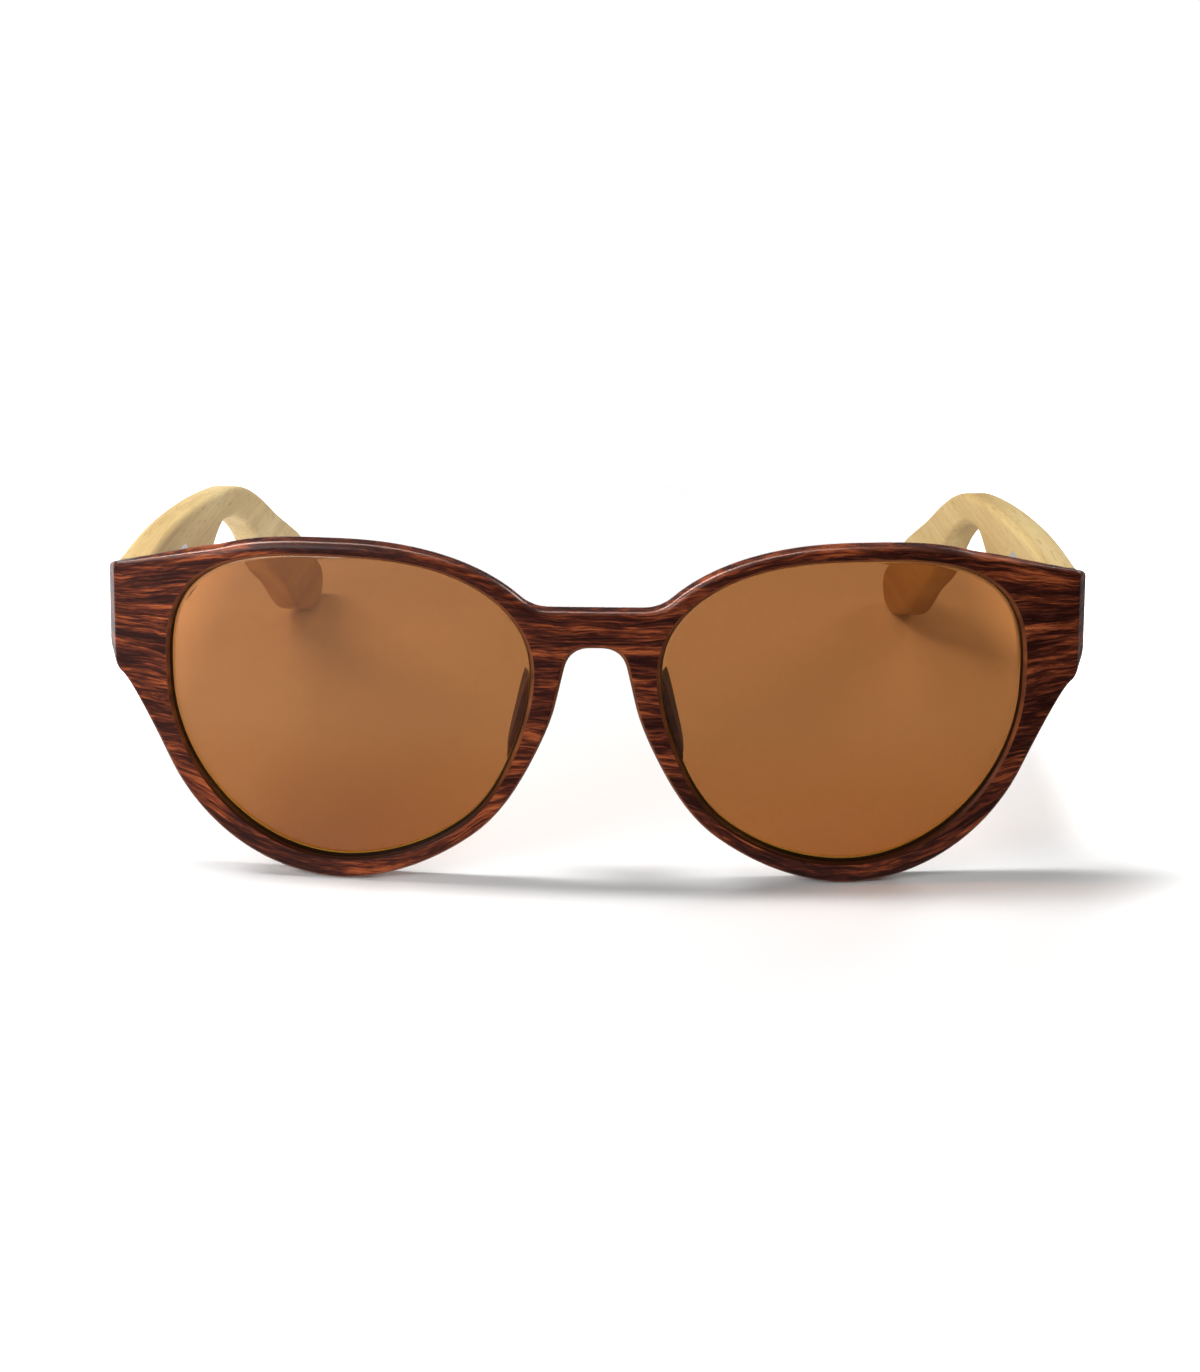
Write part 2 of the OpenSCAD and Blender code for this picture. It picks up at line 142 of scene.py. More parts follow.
# Outlines, seen from the front

# How square each quarter is, from the outer top round over the nose
LENS_SQUARE = (3.1, 2.4, 1.95, 1.95)
RIM_SQUARE = (3, 2.22, 1.75, 2)

# Angles round the lens: where its nose side is drawn in, and how far to each side
FLAT_AT = 195
FLAT_RUN = 34


def edge_point(t, out, nose, up, down, square, flat):
    """The point at angle t of an oval made of four quarters, each with its own two half axes."""
    t = t % 360
    q = int(t // 90)
    n = square[q]
    a = out if q in (0, 3) else nose
    b = up if q < 2 else down
    c, s = cos(radians(t)), sin(radians(t))
    r = ((abs(c) / a) ** n + (abs(s) / b) ** n) ** (-1 / n)
    off = abs(t - FLAT_AT)
    if off < FLAT_RUN:
        r -= flat * cos(radians(90 * off / FLAT_RUN)) ** 2
    return Vector((APEX_X + r * c, LENS_MID_Z + r * s))


def lens_edge(t, grow):
    """The lens opening, grown all round."""
    return edge_point(t, SIDE_AXIS + grow, NOSE_AXIS + grow, LENS_H - LENS_DROP + grow,
                      LENS_DROP + grow, LENS_SQUARE, LENS_NOSE_FLAT)


def rim_edge(t, s):
    """The rim's outer edge, moved in by s."""
    return edge_point(t, SIDE_AXIS + RIM_SIDE - s, NOSE_AXIS + RIM_NOSE - s,
                      LENS_H - LENS_DROP + RIM_TOP - s, LENS_DROP + RIM_LOW - s,
                      RIM_SQUARE, RIM_NOSE_FLAT)


def corner(a, c, b, steps):
    """A round from a to b about the corner c."""
    points = []
    for i in range(steps + 1):
        u = i / steps
        points.append((a.lerp(c, u)).lerp(c.lerp(b, u), u))
    return points


def towards(c, p, r):
    """The point r away from c on the way to p."""
    return c + r * (p - c).normalized()


def spread(a, b, count):
    """The points between a and b, without either."""
    return [a.lerp(b, i / count) for i in range(1, count)]


# Angles at which the outline leaves the rim, and what it does there
HOLLOW_AT = 152
SHOULDER_AT = 50
ARCH_AT = 184
ROOT_AT = -26
ROOT_FALL = 4.9
ROOT_RUN = 2.5
LOW_CORNER_R = 1.5 * CORNER_R
RIM_STEP = 1.25


def half_outline(s, flare):
    """The wearer's left half of the front's outline, moved in by s, with its side moved in by
    flare more. The second list names the stretch that each point lies on."""
    p = rim_edge(HOLLOW_AT, s)
    d = rim_edge(HOLLOW_AT + 1, s) - rim_edge(HOLLOW_AT - 1, s)
    c = p + d * ((BRIDGE_TOP - s - p[1]) / d[1])
    run = corner(Vector((c[0] - BRIDGE_HOLLOW_RUN, BRIDGE_TOP - s)), c, p, 10)
    bridge = [Vector((run[0][0] * i / 8, run[0][1])) for i in range(8)]
    points = [(q, "bridge") for q in bridge] + [(q, "hollow") for q in run]
    steps = int((HOLLOW_AT - SHOULDER_AT) / RIM_STEP)
    points += [(rim_edge(HOLLOW_AT - RIM_STEP * i, s), "top") for i in range(1, steps + 1)]

    top, low = rim_edge(SHOULDER_AT, s), rim_edge(ROOT_AT, s)
    d = rim_edge(ROOT_AT + 1, s) - rim_edge(ROOT_AT - 1, s)
    root = low + d * ((ENDPIECE_LOW - ROOT_FALL + s / 2 - low[1]) / d[1])
    a = Vector((HALF_W - ENDPIECE_LEAN - s, ENDPIECE_TOP - s))
    b = Vector((HALF_W - s, ENDPIECE_LOW + s))
    a = a.lerp(top, flare / (a[0] - top[0]))
    b = b.lerp(root, flare / (b[0] - root[0]))
    near_a = towards(a, top, CORNER_R)
    for i in range(1, 25):
        points.append((top.lerp(near_a, i / 25), "shoulder"))
    points += [(q, "corner_a") for q in corner(near_a, a, towards(a, b, CORNER_R), 6)]
    near_b = towards(b, a, LOW_CORNER_R)
    after_b = towards(b, root, LOW_CORNER_R)
    points += [(q, "side") for q in spread(towards(a, b, CORNER_R), near_b, 16)]
    points += [(q, "corner_b") for q in corner(near_b, b, after_b, 8)]
    bend = towards(root, b, ROOT_RUN)
    points += [(q, "under") for q in spread(after_b, bend, 10)]
    points += [(q, "root") for q in corner(bend, root, low, 14)]

    turn = ARCH_AT - 360 - ROOT_AT
    steps = int(turn / -RIM_STEP)
    for i in range(1, steps + 1):
        points.append((rim_edge(ROOT_AT + turn * i / (steps + 1), s), "low"))
    p = rim_edge(ARCH_AT, s)
    near = Vector((ARCH_W / 2 + s, BRIDGE_LOW - ARCH_R + s))
    c = near + (near - p) * (ARCH_R / (near[1] - p[1]))
    points += [(q, "arch") for q in [p] + spread(p, near, 5)]
    run = corner(near, c, Vector((c[0] - ARCH_R, BRIDGE_LOW + s)), 10)
    points += [(q, "arch") for q in run]
    points += [(Vector((run[-1][0] * (1 - i / 5), run[-1][1])), "arch") for i in range(1, 6)]
    return points


# The outline itself, 1 mm further in, and with its side 1 mm further in
BASE = half_outline(0, 0)
INSET = [q[0] for q in half_outline(1, 0)]
FLARED = [q[0] for q in half_outline(0, 1)]
PARTS = [q[1] for q in BASE]
COUNT = len(BASE)

# Stretches whose edge shows the plastic's own colour
BARE = ("under", "root", "low", "arch")

# Angles of a rounded edge, from one face to the other
QUARTER = [radians(15 * k) for k in range(7)]


def outline_at(i, s, y):
    """Point i of the outline, moved in by s, at depth y, where the side leans out to the back."""
    p = BASE[i][0]
    back = wrap_y(HALF_W) + FRONT_T
    flare = max(0.0, SIDE_FLARE * (back - y) / FRONT_T)
    return p + (INSET[i] - p) * s + (FLARED[i] - p) * flare


# The thick end behind the front starts here, and reaches back to the temple's end
STEP_IN = HINGE_X + 1.45
STEP_OUT = HINGE_X + 1.7


def joint_y(x):
    """Depth of the flat joint between the front and an open temple."""
    return HINGE_Y + (x - HINGE_X) * tan(radians(TOE_IN))


def back_surface(x):
    thin = wrap_y(x) + FRONT_T
    u = clamp((x - STEP_IN) / (STEP_OUT - STEP_IN))
    return thin + (joint_y(x) - thin) * u


def edge_radii(part, x):
    """How round the front's edge is in front and behind, on a stretch of the outline."""
    out = smooth((x - 52) / 14)
    if part in ("side", "corner_a", "corner_b"):
        return 0.28, 0.35
    if part in ("under", "root"):
        inner = smooth((68.4 - x) / 4.6)
        return 0.45 + 0.35 * inner, 0.35 + 0.95 * inner
    if part in ("low", "arch"):
        return 0.8, 1.3
    return 1.15 - 0.7 * out, 1.95 - 1.45 * out


def fall_at(part, x, z, y):
    """How far the endpiece's top has fallen at depth y, fading out down its side."""
    if part not in ("top", "shoulder", "corner_a", "side"):
        return 0.0
    drop = tan(radians(TOP_FALL)) * max(0.0, y - wrap_y(HALF_W) - 0.2)
    share = smooth((x - 46) / 8)
    if part == "side":
        share *= clamp((z - ENDPIECE_LOW) / ENDPIECE_H)
    return drop * share


class Build:
    """Collects the points and faces of one mesh, with a material index for each face."""

    def __init__(self):
        self.points = []
        self.faces = []
        self.slots = []
        self.flat = []

    def add(self, p):
        self.points.append(p)
        return len(self.points) - 1

    def face(self, ids, slot=0, flat=False):
        clean = [v for k, v in enumerate(ids) if v != ids[k - 1]]
        if len(clean) > 2:
            self.faces.append(clean)
            self.slots.append(slot)
            self.flat.append(flat)

    def band(self, a, b, slot=0, closed=True, flat=False):
        """Joins two rows of points that have the same count."""
        n = len(a)
        for i in range(n if closed else n - 1):
            j = (i + 1) % n
            self.face([a[i], a[j], b[j], b[i]], slot, flat)

    def finish(self, name, materials):
        mesh = bpy.data.meshes.new(name)
        mesh.from_pydata([tuple(p) for p in self.points], [], self.faces)
        for m in materials:
            mesh.materials.append(m)
        for polygon, slot, flat in zip(mesh.polygons, self.slots, self.flat):
            polygon.material_index = slot
            polygon.use_smooth = not flat
        mesh.validate()
        whole = bmesh.new()
        whole.from_mesh(mesh)
        bmesh.ops.recalc_face_normals(whole, faces=whole.faces)
        whole.to_mesh(mesh)
        whole.free()
        mesh.update()
        piece = bpy.data.objects.new(name, mesh)
        bpy.context.scene.collection.objects.link(piece)
        return piece


def fill(build, loops, height, spacing):
    """Fills the area between an outer loop and holes, given as lists of (id, x, z), with
    triangles on a surface: height(x, z) gives the placed point. New points lie inside."""
    points = []
    ids = []
    edges = []
    for loop in loops:
        start = len(points)
        for k, (v, x, z) in enumerate(loop):
            points.append(Vector((x, z)))
            ids.append(v)
            edges.append((start + k, start + (k + 1) % len(loop)))
    outer = [(x, z) for _, x, z in loops[0]]
    holes = [[(x, z) for _, x, z in loop] for loop in loops[1:]]

    def inside(poly, x, z):
        hit = False
        for k in range(len(poly)):
            x0, z0 = poly[k - 1]
            x1, z1 = poly[k]
            if (z0 > z) != (z1 > z) and x < (x1 - x0) * (z - z0) / (z1 - z0) + x0:
                hit = not hit
        return hit

    def near(poly, x, z, gap):
        for px, pz in poly:
            dx, dz = abs(px - x), abs(pz - z)
            if dx < gap and dz < gap and dx ** 2 + dz ** 2 < gap * gap:
                return True
        return False

    x_low, x_high = min(p[0] for p in outer), max(p[0] for p in outer)
    z_low, z_high = min(p[1] for p in outer), max(p[1] for p in outer)
    row = 0
    z = z_low + spacing * 0.4
    while z < z_high:
        x = x_low + spacing * (0.3 if row % 2 else 0.8)
        while x < x_high:
            free = inside(outer, x, z) and not any(inside(h, x, z) for h in holes)
            if free and not any(near(loop, x, z, spacing * 0.55) for loop in [outer] + holes):
                points.append(Vector((x, z)))
                ids.append(None)
            x += spacing
        z += spacing * 0.87
        row += 1
    found, _, faces, origin, _, _ = delaunay_2d_cdt(points, edges, [], 0, 1e-6)
    made = []
    for k, p in enumerate(found):
        old = [ids[o] for o in origin[k] if ids[o] is not None]
        made.append(old[0] if old else build.add(height(p[0], p[1])))
    for f in faces:
        cx = sum(found[v][0] for v in f) / len(f)
        cz = sum(found[v][1] for v in f) / len(f)
        if inside(outer, cx, cz) and not any(inside(h, cx, cz) for h in holes):
            build.face([made[v] for v in f])


# Materials

def node_tree(name):
    """A new material, with its node tree and its shader."""
    material = bpy.data.materials.new(name)
    material.use_nodes = True
    tree = material.node_tree
    shader = tree.nodes["Principled BSDF"]
    return material, tree, shader


def link(tree, a, b):
    tree.links.new(a, b)


def add_node(tree, kind, **values):
    node = tree.nodes.new(kind)
    for key, value in values.items():
        setattr(node, key, value)
    return node


def feed(tree, value, socket):
    """Gives a socket a number, a colour or a link."""
    if isinstance(value, (int, float)):
        socket.default_value = value
    elif isinstance(value, tuple):
        socket.default_value = (*value, 1.0)
    else:
        link(tree, value, socket)


def settings(node, values):
    for name, value in values.items():
        node.inputs[name].default_value = value


def math_node(tree, operation, *values):
    node = add_node(tree, "ShaderNodeMath", operation=operation)
    for socket, value in zip(node.inputs, values):
        feed(tree, value, socket)
    return node.outputs[0]


def weighed(tree, *shares):
    """The sum of values, each times its own share."""
    value, share = shares[0]
    total = math_node(tree, "MULTIPLY", value, share)
    for value, share in shares[1:]:
        total = math_node(tree, "MULTIPLY_ADD", value, share, total)
    return total


def combined(tree, *values):
    node = add_node(tree, "ShaderNodeCombineXYZ")
    for socket, value in zip(node.inputs, values):
        link(tree, value, socket)
    return node.outputs[0]


def scaled(tree, vector, scale):
    mapping = add_node(tree, "ShaderNodeMapping")
    mapping.inputs["Scale"].default_value = scale
    link(tree, vector, mapping.inputs["Vector"])
    return mapping.outputs[0]


def noise(tree, vector, scale, detail=2.0, rough=0.5, distortion=0.0):
    node = add_node(tree, "ShaderNodeTexNoise")
    settings(node, {"Scale": 1.0, "Detail": detail, "Roughness": rough, "Distortion": distortion})
    link(tree, scaled(tree, vector, scale), node.inputs["Vector"])
    return node.outputs["Fac"]


def ramp(tree, value, stops):
    """A colour, or a grey where a stop is one number, that follows a value from stop to stop."""
    node = add_node(tree, "ShaderNodeValToRGB")
    link(tree, value, node.inputs[0])
    elements = node.color_ramp.elements
    while len(elements) < len(stops):
        elements.new(0.5)
    for element, (at, colour) in zip(elements, stops):
        element.position = at
        element.color = (*((colour,) * 3 if isinstance(colour, float) else colour), 1.0)
    return node.outputs["Color"]


def mix_colour(tree, factor, a, b):
    node = add_node(tree, "ShaderNodeMix", data_type="RGBA")
    for socket, value in ((node.inputs[0], factor), (node.inputs[6], a), (node.inputs[7], b)):
        feed(tree, value, socket)
    return node.outputs[2]


def mix_shader(tree, factor, a, b):
    node = add_node(tree, "ShaderNodeMixShader")
    for socket, value in zip(node.inputs, (factor, a, b)):
        link(tree, value, socket)
    return node.outputs[0]


def bump(tree, shader, height, strength, distance):
    node = add_node(tree, "ShaderNodeBump")
    settings(node, {"Strength": strength, "Distance": distance})
    link(tree, height, node.inputs["Height"])
    link(tree, node.outputs[0], shader.inputs["Normal"])


def remap(tree, value, low, high, to_low=0.0, to_high=1.0, shape="LINEAR"):
    node = add_node(tree, "ShaderNodeMapRange", interpolation_type=shape)
    settings(node, {"From Min": low, "From Max": high, "To Min": to_low, "To Max": to_high})
    link(tree, value, node.inputs["Value"])
    return node.outputs[0]


def faded(tree, value, low, high, top=1.0):
    """Rises smoothly from 0 at low to top at high."""
    return remap(tree, value, low, high, 0.0, top, "SMOOTHSTEP")


def roughness(tree, shader, value, low, high):
    """Lets the roughness follow a noise value from low to high."""
    link(tree, remap(tree, value, 0.3, 0.7, low, high), shader.inputs["Roughness"])


def object_place(tree):
    """The place on the piece in metres."""
    return add_node(tree, "ShaderNodeTexCoord").outputs["Object"]


def split_place(tree, place):
    split = add_node(tree, "ShaderNodeSeparateXYZ")
    link(tree, place, split.inputs[0])
    return tuple(split.outputs)


def wood_coordinates(tree):
    """Streaks run along x. They bend with the rims at the top and low down, and rise outwards on
    the endpieces."""
    def calc(operation, *values):
        return math_node(tree, operation, *values)

    x, y, z = split_place(tree, object_place(tree))
    out = calc("ABSOLUTE", x)
    off = calc("SUBTRACT", out, APEX_X / 1000)

    # Over a lens, they fall away to both sides
    half_run, side_fall, most_fall = 0.0285, 0.0095, 0.012
    share = calc("DIVIDE", off, half_run)
    fall = calc("MINIMUM", calc("MULTIPLY", calc("MULTIPLY", share, share), side_fall), most_fall)
    level = calc("ADD", z, calc("MULTIPLY", fall, faded(tree, z, 0.035, 0.052, 0.75)))

    # On an endpiece, they rise outwards
    tilt_from, tilt = 0.048, 0.13
    rise = calc("MULTIPLY", calc("MAXIMUM", calc("SUBTRACT", out, tilt_from), 0.0), tilt)
    level = calc("SUBTRACT", level, rise)

    # Low down, they run round the lens
    ring_r, ring_share = 0.039, 0.8
    down = calc("SUBTRACT", z, LENS_MID_Z / 1000)
    far = calc("SQRT", calc("MULTIPLY_ADD", off, off, calc("MULTIPLY", down, down)))
    around = calc("SUBTRACT", ring_r, far)
    bend = calc("SUBTRACT", ring_share, faded(tree, z, 0.006, 0.022, ring_share))
    level = calc("ADD", level, calc("MULTIPLY", bend, calc("SUBTRACT", around, level)))

    # Their depth is measured from the curved face, and small waves shift them up and down
    wrap = calc("MULTIPLY", calc("MULTIPLY", x, x), 500 / WRAP_R)
    deep = calc("SUBTRACT", y, wrap)
    straight = combined(tree, x, deep, level)
    wave = calc("SUBTRACT", noise(tree, straight, (70, 60, 90)), 0.5)
    ripple = calc("SUBTRACT", noise(tree, straight, (260, 200, 420)), 0.5)
    shift = weighed(tree, (wave, 0.0024), (ripple, 0.0008))
    return combined(tree, x, deep, calc("ADD", level, shift))


def rosewood_material(name, polished):
    """The printed wood grain. The rounded edge of the front face is polished, and shines more."""
    material, tree, shader = node_tree(name)
    place = wood_coordinates(tree)
    broad = noise(tree, place, (55, 120, 360), 2.0, 0.55, 0.5)
    streak = noise(tree, place, (120, 260, 1350), 3.0, 0.65, 0.9)
    fine = noise(tree, place, (420, 600, 3600), 2.0, 0.6)
    grain = weighed(tree, (broad, 0.38), (streak, 0.40), (fine, 0.22))
    colour = ramp(tree, grain, [
        (0.38, (0.020, 0.0030, 0.0018)), (0.45, (0.033, 0.0058, 0.0030)),
        (0.50, (0.068, 0.0125, 0.0052)), (0.54, (0.150, 0.0290, 0.0090)),
        (0.58, (0.290, 0.0620, 0.0170)), (0.66, (0.46, 0.118, 0.034))])
    link(tree, colour, shader.inputs["Base Color"])
    settings(shader, {"IOR": 1.46, "Coat Roughness": 0.22})
    if polished:
        roughness(tree, shader, streak, 0.30, 0.32)
        settings(shader, {"Specular IOR Level": 1.0, "Specular Tint": (1.0, 0.66, 0.56, 1.0),
                          "Coat Weight": 0.15})
    else:
        roughness(tree, shader, streak, 0.22, 0.32)
        settings(shader, {"Specular IOR Level": 0.2})
        bump(tree, shader, grain, 0.2, 0.00004)
    return material


def edge_material(name, painted_shade_low):
    """The plastic's own colour, where the print ends on an edge. Round the openings it gets darker
    low down: painted shade, for the lower bevel that the light does not reach."""
    material, tree, shader = node_tree(name)
    place = wood_coordinates(tree)
    tint = noise(tree, place, (60, 60, 400))
    colour = ramp(tree, tint, [(0.3, (0.095, 0.0235, 0.0068)), (0.5, (0.150, 0.0400, 0.0105)),
                               (0.7, (0.205, 0.0600, 0.0150))])
    # Painted shade: the ring round an opening turns dark low down
    if painted_shade_low:
        _, _, z = split_place(tree, object_place(tree))
        colour = mix_colour(tree, faded(tree, z, 0.008, 0.022), (0.026, 0.0052, 0.0026), colour)
    link(tree, colour, shader.inputs["Base Color"])
    settings(shader, {"Specular IOR Level": 0.3, "Roughness": 0.32, "IOR": 1.46})
    bump(tree, shader, noise(tree, place, (900, 900, 900)), 0.12, 0.00003)
    return material


def dull_material(name, scale, detail, stops, shine, rough, relief):
    """Unprinted plastic with a faint mottle."""
    material, tree, shader = node_tree(name)
    place = wood_coordinates(tree)
    tint = noise(tree, place, scale, *detail)
    link(tree, ramp(tree, tint, stops), shader.inputs["Base Color"])
    settings(shader, {"Specular IOR Level": shine, "Roughness": rough})
    bump(tree, shader, noise(tree, place, (1500, 1500, 1500)), relief, 0.00003)
    return material


def bamboo_material(side):
    """Long fibres and laminated strips along the temple, with short dark fibre ends."""
    material, tree, shader = node_tree("bamboo_left" if side > 0 else "bamboo_right")
    turn = add_node(tree, "ShaderNodeMapping")
    settings(turn, {"Rotation": (0, 0, -side * radians(TOE_IN)),
                    "Location": (0.011 * side, 0.0, 0.003 * side)})
    link(tree, object_place(tree), turn.inputs["Vector"])
    place = turn.outputs[0]
    strips = noise(tree, place, (330, 5, 190), 1.0, 0.4)
    fibres = noise(tree, place, (1900, 26, 1900), 3.0, 0.65)
    clouds = noise(tree, place, (70, 22, 70))
    dash = noise(tree, place, (2600, 210, 2600), 1.0)
    body = weighed(tree, (fibres, 0.33), (strips, 0.42), (clouds, 0.25))
    # Painted light and shade: the wearer's right temple, which the lamps light less, is made
    # lighter, and the left one, which they light more, darker; the darker one is also made warmer in
    # colour
    painted_light_tone = (1.12, 1.11, 1.10) if side < 0 else (0.93, 0.88, 0.76)
    stops = [(0.36, (0.56, 0.385, 0.160)), (0.46, (0.66, 0.475, 0.215)),
             (0.53, (0.73, 0.545, 0.260)), (0.61, (0.80, 0.630, 0.330))]
    stops = [(at, tuple(t * c for t, c in zip(painted_light_tone, value))) for at, value in stops]
    dark = math_node(tree, "MULTIPLY", ramp(tree, dash, [(0.63, 0.0), (0.70, 1.0)]), 0.38)
    colour = mix_colour(tree, dark, ramp(tree, body, stops), (0.36, 0.22, 0.085))
    link(tree, colour, shader.inputs["Base Color"])
    roughness(tree, shader, fibres, 0.50, 0.64)
    settings(shader, {"Specular IOR Level": 0.35})
    bump(tree, shader, fibres, 0.35, 0.00006)
    return material


def lens_material():
    """Brown glass. Rays from the lamps pass it tinted, and so colour its shadow."""
    material, tree, shader = node_tree("brown_lens")
    settings(shader, {"Transmission Weight": 1.0, "IOR": 1.5, "Specular IOR Level": 0.25})
    place = object_place(tree)
    _, _, z = split_place(tree, place)
    drift = noise(tree, place, (18, 18, 22), 1.0)
    # The tint deepens low down, with a faint random drift. The deeper tint low down is painted
    # shade: the lens's tinted shadow on the table just behind it
    level = weighed(tree, (drift, 0.12), (z, 20.0))
    tint = ramp(tree, level, [(0.16, (0.310, 0.103, 0.018)), (0.55, (0.340, 0.138, 0.042)),
                              (1.0, (0.340, 0.136, 0.043))])
    link(tree, tint, shader.inputs["Base Color"])
    smear = noise(tree, place, (300, 300, 300), 3.0, 0.6)
    link(tree, remap(tree, smear, 0.0, 1.0, 0.0, 0.02), shader.inputs["Roughness"])
    clear = add_node(tree, "ShaderNodeBsdfTransparent")
    settings(clear, {"Color": (0.53, 0.335, 0.185, 1.0)})
    shadow = add_node(tree, "ShaderNodeLightPath").outputs["Is Shadow Ray"]
    blend = mix_shader(tree, shadow, shader.outputs[0], clear.outputs[0])
    link(tree, blend, tree.nodes["Material Output"].inputs["Surface"])
    return material


def lens_edge_highlight_material():
    """The edge of a lens, golden and lighter than its faces: a painted highlight for the light that
    the edge catches and bends.
    """
    material, tree, shader = node_tree("brown_lens_edge_highlight")
    tint = noise(tree, object_place(tree), (90, 90, 90))
    colour = ramp(tree, tint, [(0.3, (0.34, 0.15, 0.018)), (0.7, (0.48, 0.25, 0.040))])
    link(tree, colour, shader.inputs["Base Color"])
    settings(shader, {"Roughness": 0.25})
    return material


def metal_material(name, colours, rough, scale):
    """Brushed metal, between two colours and two values of roughness."""
    material, tree, shader = node_tree(name)
    place = object_place(tree)
    brushed = noise(tree, place, scale, 3.0, 0.6)
    cloudy = noise(tree, place, (350, 350, 350))
    link(tree, ramp(tree, cloudy, list(zip((0.3, 0.7), colours))), shader.inputs["Base Color"])
    settings(shader, {"Metallic": 1.0})
    roughness(tree, shader, brushed, *rough)
    bump(tree, shader, brushed, 0.25, 0.00003)
    return material


# The front

# Its materials, by their place in the list
GRAIN, EDGE, PAINTED_SHADE_WALL, PADS, RING, POLISHED = range(6)

# Levels of its section that make the outer part of the face's round edge
ROUNDED = range(2, 6)

# Points round an opening or a lens
TURNS = 180

# Where an opening's bevel ends in depth, and how round its rear edge is
BEVEL_DEPTH = 0.75
REAR_R = 0.5


def section_at(i):
    """The section through the edge at point i of the outline, from the front face to the back."""
    part = PARTS[i]
    x = outline_at(i, 0, wrap_y(BASE[i][0][0]))[0]
    r_front, r_back = edge_radii(part, x)
    y_front = wrap_y(x)
    y_back = back_surface(min(x, HALF_W))
    column = [(r_front * (1 - sin(a)), y_front + r_front * (1 - cos(a))) for a in QUARTER]
    for k in range(1, 4):
        u = k / 4
        column.append((0.0, (y_front + r_front) * (1 - u) + (y_back - r_back) * u))
    column += [(r_back * (1 - cos(a)), y_back - r_back * (1 - sin(a))) for a in QUARTER]
    section = []
    for s, y in column:
        p = outline_at(i, s, y)
        lift = wrap_y(p[0]) - y_front if y < y_front + r_front + 1e-9 else 0.0
        section.append((p[0], y + lift, p[1] - fall_at(part, p[0], p[1], y)))
    x, _, z = section[-1]
    section[-1] = (x, back_surface(x), z)
    return section


def build_front():
    build = Build()

    # One closed round of both halves: the left one, then the right one backwards
    full = [(1, i) for i in range(COUNT)] + [(-1, i) for i in range(COUNT - 2, 0, -1)]
    parts = [PARTS[i] for _, i in full]
    sections = [section_at(i) for i in range(COUNT)]
    rings = []
    for level in range(len(sections[0])):
        ring = []
        for side, i in full:
            x, y, z = sections[i][level]
            p = (side * x, y, z)
            ring.append((build.add(placed(p)), p))
        rings.append(ring)

    # The face's round edge is bare plastic low down and polished elsewhere, but not on the
    # wearer's right side
    for level, (a, b) in enumerate(zip(rings, rings[1:])):
        for k in range(len(a)):
            j = (k + 1) % len(a)
            slot = GRAIN
            if level in ROUNDED and parts[k] in BARE and parts[j] in BARE:
                slot = EDGE
            elif level in ROUNDED and (parts[k] != "side" or a[k][1][0] > 0):
                slot = POLISHED
            build.face([a[k][0], a[j][0], b[j][0], b[k][0]], slot)

    # Openings: a smooth bevel, the wall round the lens, and a round rear edge. The wall and the rear
    # edge are coloured near black: painted shade of the recess.
    seat = LENS_BITE + 0.02
    profile = [(0.60, 0.0, RING), (0.54, 0.05, RING), (0.30, 0.36, RING), (0.14, 0.64, RING),
               (0.10, 0.72, RING), (0.08, 0.80, PAINTED_SHADE_WALL), (-0.05, 1.25, PAINTED_SHADE_WALL),
               (-0.19, LENS_DEPTH - 0.02, PAINTED_SHADE_WALL), (seat, LENS_DEPTH - 0.01, PAINTED_SHADE_WALL),
               (seat, LENS_BACK, PAINTED_SHADE_WALL), (LENS_WAY_IN, LENS_BACK + 0.02, PAINTED_SHADE_WALL)]
    for a in QUARTER:
        depth = FRONT_T - REAR_R * (1 - sin(a))
        profile.append((LENS_WAY_IN + REAR_R * (1 - cos(a)), depth, PAINTED_SHADE_WALL))
    openings = []
    for side in (1, -1):
        made = []
        for grow, depth, _ in profile:
            ring = []
            for k in range(TURNS):
                t = k * 360 / TURNS
                narrow = 1 - 0.5 * clamp(-sin(radians(t))) if depth < BEVEL_DEPTH else 1
                x, z = lens_edge(t, grow * narrow)
                p = (side * x, wrap_y(x) + depth, z)
                ring.append((build.add(placed(p)), p))
            made.append(ring)
        for a, b, (_, _, slot) in zip(made, made[1:], profile[1:]):
            build.band([v for v, _ in a], [v for v, _ in b], slot)
        openings.append(made)

    def face(end, depth, spacing):
        """Fills the first or last rings of the outline and the openings."""
        rounds = [rings[end]] + [made[end] for made in openings]
        loops = [[(v, p[0], p[2]) for v, p in ring] for ring in rounds]
        fill(build, loops, lambda x, z: placed((x, depth(abs(x)), z)), spacing)

    face(0, wrap_y, 1.6)
    face(-1, back_surface, 1.3)
    return build


# Angle round the lens at which a pad stands, and how far it sinks in the rim
PAD_AT = 193
PAD_SINK = 0.9


